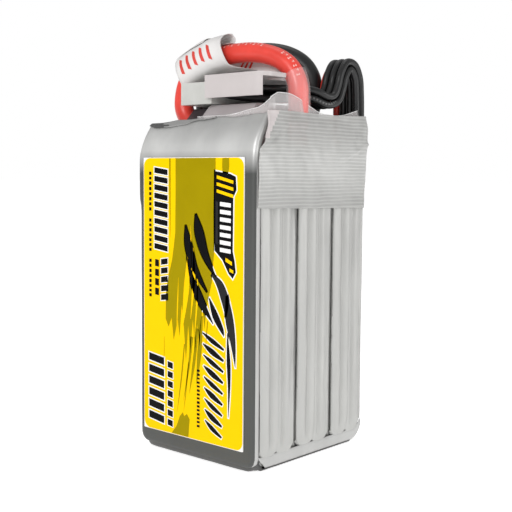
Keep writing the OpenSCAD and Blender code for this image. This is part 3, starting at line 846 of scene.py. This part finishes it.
def tape_creases(y, z):
    """Creases standing out of the tape's right side."""
    # a ridge and a furrow run back and up from the front corner, a ridge up to the back corner
    front = (z - 70.5) - (y + 19) * 0.55
    back = (z - 67.0) - (y - 8) * 0.4
    out = 0.45 * math.exp(-(front / 0.7) ** 2) * (1 - smooth(-16, -6, y))
    out -= 0.30 * math.exp(-((front + 1.4) / 0.6) ** 2) * (1 - smooth(-15, -7, y))
    out += 0.30 * math.exp(-(back / 0.5) ** 2) * smooth(6, 12, y)
    # pinched bump and dent by the cover's shoulder
    out += 0.40 * math.exp(-((y + 16.2) / 1.7) ** 2 - ((z - 66.6) / 1.3) ** 2)
    return out - 0.35 * math.exp(-((y + 17.2) / 1.5) ** 2 - ((z - 69.3) / 1.0) ** 2)


def tape_point(x, y, nx, ny, z):
    """The tape's point at height z over a point of its path with the outward direction (nx, ny)."""
    right, on_side = x > 0, abs(nx) > 0.9
    if abs(nx) > 0.99:
        # slanted front edges, following the cover's shoulder
        start = -19.15 + 3.0 * smooth(66.5, 77, z) if right else -18.6 + 2.8 * smooth(65, 71, z)
        start += 0.15 * nz(z * 0.4, 2.0, 2.0)
        y = lerp(start, TAPE_Y - TAPE_R, (y - TAPE_FRONT) / (TAPE_Y - TAPE_R - TAPE_FRONT))
    rise = (z - TAPE_Z0) / (TAPE_Z1 - TAPE_Z0)
    bulge = 0.10 + 0.30 * math.sin(math.pi * rise) * (0.6 + 0.6 * nz(y * 0.08, x * 0.05, z * 0.05))
    if on_side:
        # the left wrap stands off the cells, the right one swells near the back corner
        if right:
            bulge += 0.60 * smooth(64, 72, z) * smooth(4, 17, y)
        else:
            bulge += 0.30 * smooth(58, 64, z) * (1 - smooth(70, TAPE_Z1, z))
        # the side seals show through as shallow waves
        bulge += 0.14 * math.cos((y + 11.75) / (2 * PITCH) * 2 * math.pi) * (1 - smooth(58, 66, z))
    wr = 0.24 * nz(y * 0.16, x * 0.16, z * 0.22) + 0.14 * nz(y * 0.5, x * 0.5, z * 0.35 + 4)
    if on_side and right:
        wr += tape_creases(y, z)
    fibre = math.sin(2 * math.pi * (z + 0.5 * nz(y * 0.06, x * 0.06, 1.5)) / FILAMENT)
    lean = 0.9 * smooth(74.5, 78.5, z) * (0.5 + 0.5 * nz(x * 0.1, y * 0.12, 3.0))
    out = bulge + wr * smooth(TAPE_Z0, 61, z) + 0.022 * smooth(0.5, 1.0, fibre) - lean
    top = smooth(74, TAPE_Z1, z) * (0.55 * nz(x * 0.07, y * 0.07, 6.0) - 0.1)
    tilt = 0.2 - 0.018 * (y + 19) * (1 - smooth(TAPE_Z0, 66, z))
    if not right:
        tilt -= 4.2 * smooth(62, TAPE_Z1, z) * (1 - smooth(6, 19, y))
    return x + nx * out, y + ny * out, z + top + tilt


def build_tape():
    path = tape_path()
    n = 210
    rows = [[tape_point(*p, lerp(TAPE_Z0, TAPE_Z1, i / n)) for p in path] for i in range(n + 1)]
    # above a slanted line at the front right the tape is one clear layer
    kinds = [int(x > 17 and z > 71.8 and y < -17.2 + (z - 71.8) * 0.75)
             for row in rows[:-1] for x, y, z in row[:-1]]
    sheet("end_filament_tape", rows, [TAPE, PALE], "filament_tape", 0.12, flip=True, face_mats=kinds,
          replaces=("end_tape",))


build_tape()


def build_flap():
    """Clear loose end of the tape: a hill along the front edge, round the corner in front of the red
    lead and back low along the side."""
    rows = []
    n, length = 96, 54.0
    x0, x1, y0, r = -4.6, 16.6, -14.9, 1.35
    front, corner = x1 - x0, 2.2
    for i in range(n + 1):
        s = length * i / n
        if s < front:
            x, y = x0 + s, y0
        elif s < front + corner:
            a = (s - front) / corner * math.pi / 2
            x, y = x1 + r * math.sin(a), y0 + r * (1 - math.cos(a))
        else:
            x, y = x1 + r, y0 + r + (s - front - corner)
        peak = 77.3 + 1.5 * smooth(8, 21, s) + 3.1 * smooth(18, 25.5, s) - 4.0 * smooth(27, 42, s)
        peak += 2.0 * smooth(46, 57, s) + 0.12 * nz(s * 0.3, 2.0, 8.0)
        row = []
        for k in range(17):
            v = k / 16
            z = lerp(72.6, peak, v)
            w = 0.22 * nz(s * 0.22, z * 0.3, 5.5) + 0.35 * v * v + 0.12 * math.sin(s * 0.9 + z * 0.5) * v
            if s > 22:
                row.append((x - 0.6 * w - 0.25 * v, y, z))
            else:
                row.append((x, y + w, z))
        rows.append(row)
    sheet("tape_loose_end", rows, FILM, "clear_film", 0.06, replaces=("tape_flap",))
    # its cut edge: a near-white tube painted as the highlight the edge catches
    rim, r = [], 0.075
    crest = [Vector(row[-1]) for row in rows]
    for i, p in enumerate(crest):
        t = (crest[min(i + 1, n)] - crest[max(i - 1, 0)]).normalized()
        a = t.cross(Vector((0, 0, 1))).normalized()
        c = t.cross(a)
        turns = [k * math.pi / 3 for k in range(6)]
        rim.append([tuple(p + r * (a * math.cos(th) + c * math.sin(th))) for th in turns])
    make("tape_loose_edge_highlight", *grid(rim, closed=True), RIM_HIGHLIGHT, "clear_film")


build_flap()


def build_sleeve():
    """Clear film stuck round the red lead's rising end, loose and creased at its upper edge."""
    z_end = 86.9
    route = [p for p in catmull(RED_ROUTE[:7], 8) if 75.5 < p.z < z_end]
    rows = []
    for i, p in enumerate(route):
        t = (route[min(i + 1, len(route) - 1)] - route[max(i - 1, 0)]).normalized()
        a = Vector((0, -1, 0))
        a = (a - a.dot(t) * t).normalized()
        b = t.cross(a)
        row = []
        for k in range(36):
            th = 2 * math.pi * k / 36
            r = 2.62 + 0.40 * max(0.0, math.cos(th - 0.9)) ** 3
            r += 0.16 * nz(math.cos(th) * 1.4, math.sin(th) * 1.4, p.z * 0.18)
            r += 0.15 * smooth(84.5, z_end, p.z) * (1 + nz(math.cos(th) * 2, math.sin(th) * 2, 7.0))
            q = p + (a * math.cos(th) + b * math.sin(th)) * r
            row.append((min(q.x, 17.95 + 0.6 * smooth(79, 82, q.z)), q.y, q.z))
        rows.append(row)
    sheet("clear_lead_sleeve", rows, SLEEVE, "clear_film", 0.06, closed=True)


build_sleeve()


# ---- pull tag
TAG_HALF, TAG_SLOPE = 6.9, math.radians(19)


def build_tag():
    """Coated paper strip wrapped round both leads, its end curled over; returns its rows of points."""
    axis = Vector((math.cos(TAG_SLOPE), 0.0, math.sin(TAG_SLOPE)))
    up = Vector((-axis.z, 0.0, axis.x))
    side = Vector((0, -1, 0))
    centre = Vector((-7.9, -1.8, 90.5))
    # (forward, up) round the leads: the curl, the crest, down the front, under, up the back, overlap
    loop = [(5.8, 2.55), (4.4, 2.5), (3.3, 3.0), (3.0, 4.0), (3.7, 4.8), (5.2, 4.9), (7.0, 4.3),
            (8.5, 3.1), (9.1, 1.4), (8.9, -0.4), (8.3, -2.0), (7.2, -3.0), (4.8, -3.5), (0.0, -3.6),
            (-4.6, -3.0), (-6.6, -1.0), (-6.8, 1.6), (-5.6, 3.1), (-2.6, 4.1), (1.2, 4.9), (4.0, 5.3),
            (6.2, 5.0), (8.0, 3.95)]
    c = catmull([(a, b, 0) for a, b in loop], 8)
    rows = []
    m = 18
    for i, p in enumerate(c):
        t = i / (len(c) - 1)
        curl = 1 - smooth(0.10, 0.26, t)
        under = smooth(0.48, 0.59, t)
        row = []
        for k in range(m + 1):
            # place across the strip: the curl is narrower, the back wrap shifts and narrows
            b = lerp(lerp(-TAG_HALF, TAG_HALF, k / m), lerp(1.0, 7.4, k / m), curl) + 3.0 * under
            b = lerp(b, lerp(-TAG_HALF, 1.5, k / m), smooth(0.59, 0.70, t))
            f = p.x - 0.12 * b * (p.x > 4) - (0.45 * b * smooth(0, 6, -p.x) if p.x < 0 else 0)
            u = p.y - (0.018 if p.y > 0 else 0.022) * b * b
            wob = 0.16 * nz(t * 9, b * 0.3, 2.0)
            row.append(tuple(centre + axis * b + side * (f + wob) + up * (u + wob * 0.5)))
        rows.append(row)
    sheet("pull_tag_strip", rows, PAPER, "tag_paper", 0.1, replaces=("pull_tag",))
    return rows


def build_tail():
    """The strip's other end, standing between the two leads; returns its rows of points."""
    rows = []
    n, m = 30, 12
    for i in range(n + 1):
        x = lerp(-12.0, 11.0, i / n)
        crest = 91.3 - 0.010 * (x - 2) ** 2 - 1.2 * smooth(6, 11, x)
        row = []
        for k in range(m + 1):
            v = k / m
            y = lerp(-3.2, -1.9, v) + 0.25 * nz(x * 0.2, v * 2, 3.0)
            z = lerp(86.75, crest, v) + 0.15 * nz(x * 0.3, v * 2, 1.0)
            row.append((x + 0.8 * v, y, z))
        rows.append(row)
    sheet("pull_tag_tail", rows, PAPER, "tag_paper", 0.1)
    return rows


def bars_on(name, rows, spots, out=0.09):
    """Small red bars lifted by out off a grid of points.

    Each is (from row, to row, from column, to column, slant), as fractions of the grid.
    """
    verts, faces = [], []
    n, m = len(rows) - 1, len(rows[0]) - 1

    def at(u, v):
        i, k = min(int(u * n), n - 1), min(int(v * m), m - 1)
        a, b = u * n - i, v * m - k
        p = [Vector(rows[i + di][k + dk]) for di in (0, 1) for dk in (0, 1)]
        q = (p[0] * (1 - b) + p[1] * b) * (1 - a) + (p[2] * (1 - b) + p[3] * b) * a
        nrm = (p[2] - p[0]).cross(p[1] - p[0]).normalized()
        return q + nrm * out

    cuts = 5
    for u0, u1, v0, v1, slant in spots:
        vs = [lerp(v0, v1, k / cuts) for k in range(cuts + 1)]
        bar = [[tuple(at(lerp(u0, u1, i / cuts) + slant * (v - v0), v)) for v in vs]
               for i in range(cuts + 1)]
        add_patch(verts, faces, bar)
    make(name, verts, faces, TAG_RED, "tag_paper")


tag_rows, tail_rows = build_tag(), build_tail()
bars_on("pull_tag_bars", tag_rows, [
    (0.325, 0.41, 0.10 + 0.15 * i, 0.16 + 0.15 * i, 0.25) for i in range(5)])
bars_on("pull_tag_tail_bars", tail_rows, [
    (0.40 + 0.06 * i, 0.43 + 0.06 * i, 0.45, 0.92, 0.03) for i in range(3)])


# ---- print on the leads
def dashes(name, route, radius, material, slot, toward, spans, width):
    """Tiny printed dashes lying on a cord's surface, on its side facing toward.

    Each is (distance along the cord, length, distance round the cord).
    """
    pts = catmull(route, 24)
    acc = [0.0]
    for a, b in zip(pts, pts[1:]):
        acc.append(acc[-1] + (b - a).length)
    verts, faces = [], []
    face_dir = Vector(toward).normalized()

    def at(s, off):
        k = next(i for i, x in enumerate(acc) if x > s) - 1
        p = pts[k].lerp(pts[k + 1], (s - acc[k]) / (acc[k + 1] - acc[k]))
        t = (pts[min(k + 2, len(pts) - 1)] - pts[max(k - 1, 0)]).normalized()
        n = (face_dir - face_dir.dot(t) * t).normalized()
        b = t.cross(n)
        a = off / radius
        return p + (n * math.cos(a) + b * math.sin(a)) * (radius + 0.02)

    for s0, length, off in spans:
        add_patch(verts, faces, [[tuple(at(s0 + length * i / 2, off + width * (j / 2 - 0.5)))
                                  for j in range(3)] for i in range(3)])
    make(name, verts, faces, material, slot)


red_marks = []
for s0 in (16.0, 27.0, 34.5):
    for i in range(7):
        s = s0 + i * 0.95
        red_marks.append((s, 0.42, 0.35))
        if i % 2 == 0:
            red_marks.append((s, 0.42, -0.25))
        red_marks.append((s + 0.1, 0.16, 0.05))
dashes("red_lead_print", RED_ROUTE, LEAD_D / 2, PRINT, "silicone_red", (0.45, -0.55, 0.75), red_marks,
       0.22)
wire_marks = [(22.0 + i * 0.75, 0.4, 0.0) for i in range(10)]
dashes("wire_print", wire_route(0), WIRE_D / 2, PRINT_W, "silicone_black", (0.5, -0.8, 0.2),
       wire_marks, 0.45)

# ---- carried-over parts
for n, material in (
        ("electrode_stacks", ELECTRODE), ("positive_tabs", TIN), ("negative_tabs", TIN),
        ("adhesive_sheets", TISSUE), ("insulation_paper", FISH), ("connection_board", BOARD),
        ("solder_joints", TIN), ("top_insulator", INSULATOR), ("main_plug_housing", NYLON_K),
        ("main_plug_cover", NYLON_K), ("main_contacts", GOLD), ("plug_cap", MILKY_CAP),
        ("balance_plug", NYLON_W), ("balance_crimps", TIN), ("plug_clip", MILKY)):
    NODES[n].data.materials.clear()
    NODES[n].data.materials.append(material)
# moulded edges are rounded, by these widths
for n, w in (("plug_clip", 0.7), ("balance_plug", 0.2), ("plug_cap", 0.5), ("main_plug_cover", 0.35),
             ("main_plug_housing", 0.25)):
    bv = NODES[n].modifiers.new("edge", "BEVEL")
    bv.width = w * MM
    bv.segments = 3
    bv.limit_method = "ANGLE"
    bv.angle_limit = math.radians(50)

# ---- stage
WHITE_LIGHT = (1, 1, 1, 1)
# a white sheet, 12 m across, that glows enough to melt into the background
floor_mat = surface("floor", (0.92, 0.92, 0.92), 0.6, 0, 0.005, 0.03, 3.0, 0.02, 0.02, 200)
floor_shader = floor_mat.node_tree.nodes["Principled BSDF"]
floor_shader.inputs["Emission Color"].default_value = WHITE_LIGHT
floor_shader.inputs["Emission Strength"].default_value = 0.62
half, below = 6.0, -0.00005
me = bpy.data.meshes.new("floor")
me.from_pydata([(-half, -half, below), (half, -half, below), (half, half, below), (-half, half, below)],
               [], [(0, 1, 2, 3)])
me.materials.append(floor_mat)
floor = bpy.data.objects.new("floor", me)
scene.collection.objects.link(floor)

# the world lights the pack at half strength and is seen as plain white
world = bpy.data.worlds.new("studio")
scene.world = world
world.use_nodes = True
wt = world.node_tree
bg = wt.nodes["Background"]
bg.inputs["Color"].default_value = WHITE_LIGHT
bg.inputs["Strength"].default_value = 0.5
seen = add(wt, "ShaderNodeBackground", Color=WHITE_LIGHT, Strength=1.0)
lp = wt.nodes.new("ShaderNodeLightPath")
mx = wt.nodes.new("ShaderNodeMixShader")
wt.links.new(lp.outputs["Is Camera Ray"], mx.inputs[0])
wt.links.new(bg.outputs[0], mx.inputs[1])
wt.links.new(seen.outputs[0], mx.inputs[2])
wt.links.new(mx.outputs[0], wt.nodes["World Output"].inputs["Surface"])


def area_light(name, at, target, size, power):
    d = bpy.data.lights.new(name, "AREA")
    d.shape = "RECTANGLE"
    d.size = d.size_y = size
    d.energy = power
    o = bpy.data.objects.new(name, d)
    o.location = Vector(at)
    o.rotation_euler = (Vector(target) - Vector(at)).to_track_quat("-Z", "Y").to_euler()
    scene.collection.objects.link(o)


area_light("key", (0.15, -0.62, 0.38), (0, 0, 0.045), 0.3, 2.3)
area_light("side", (0.78, 0.36, 0.28), (0, 0, 0.045), 0.35, 1.5)
area_light("top", (-0.05, 0.1, 0.75), (0, 0, 0.05), 0.4, 0.55)
